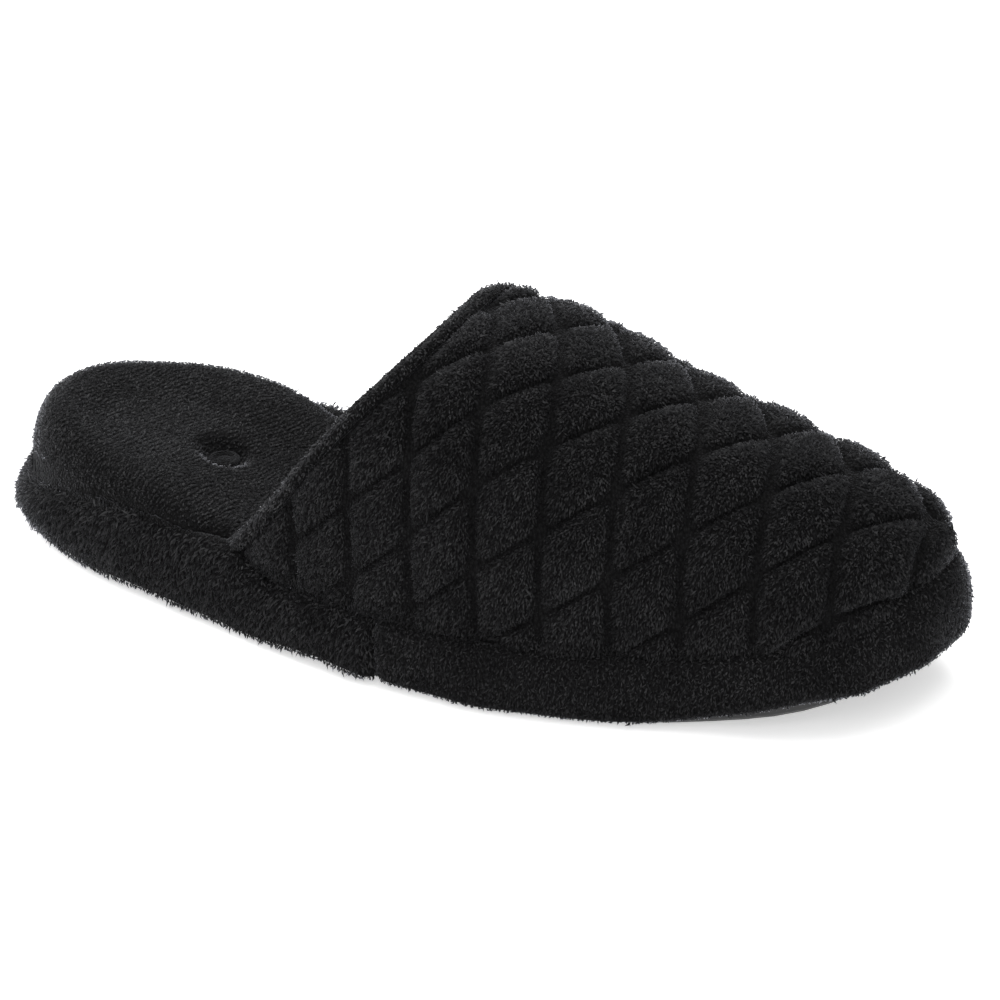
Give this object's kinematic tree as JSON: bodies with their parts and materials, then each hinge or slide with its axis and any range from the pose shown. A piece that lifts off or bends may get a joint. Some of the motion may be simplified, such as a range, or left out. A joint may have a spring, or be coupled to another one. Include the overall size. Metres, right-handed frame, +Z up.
{
  "type": "clog slipper",
  "caption": "Backless clog slipper for the right foot: quilted terry vamp with a hemmed throat on a terry wrapped platform with a cushioned footbed.",
  "frame": {"origin": "on the floor under the middle of the slipper's bounding box", "axes": "+X from heel to toe, +Y towards the inner side of the foot, +Z up"},
  "size_m": [0.2658, 0.0946, 0.0881],
  "materials": {
    "quilted_terry": "soft black terry pile, quilted",
    "band_terry": "soft black terry pile",
    "heel_pile": "longer black terry pile",
    "footbed_terry": "fine black terry loops",
    "hem_fabric": "folded black hem",
    "button_fabric": "covered button",
    "sole_rubber": "matt"
  },
  "bodies": {
    "root": {"outsole": "sole_rubber", "insole": "footbed_terry", "rand_front": "band_terry", "rand_heel": "heel_pile", "upper": "quilted_terry", "throat_binding": "hem_fabric", "footbed_button": "button_fabric"}
  },
  "joints": []
}
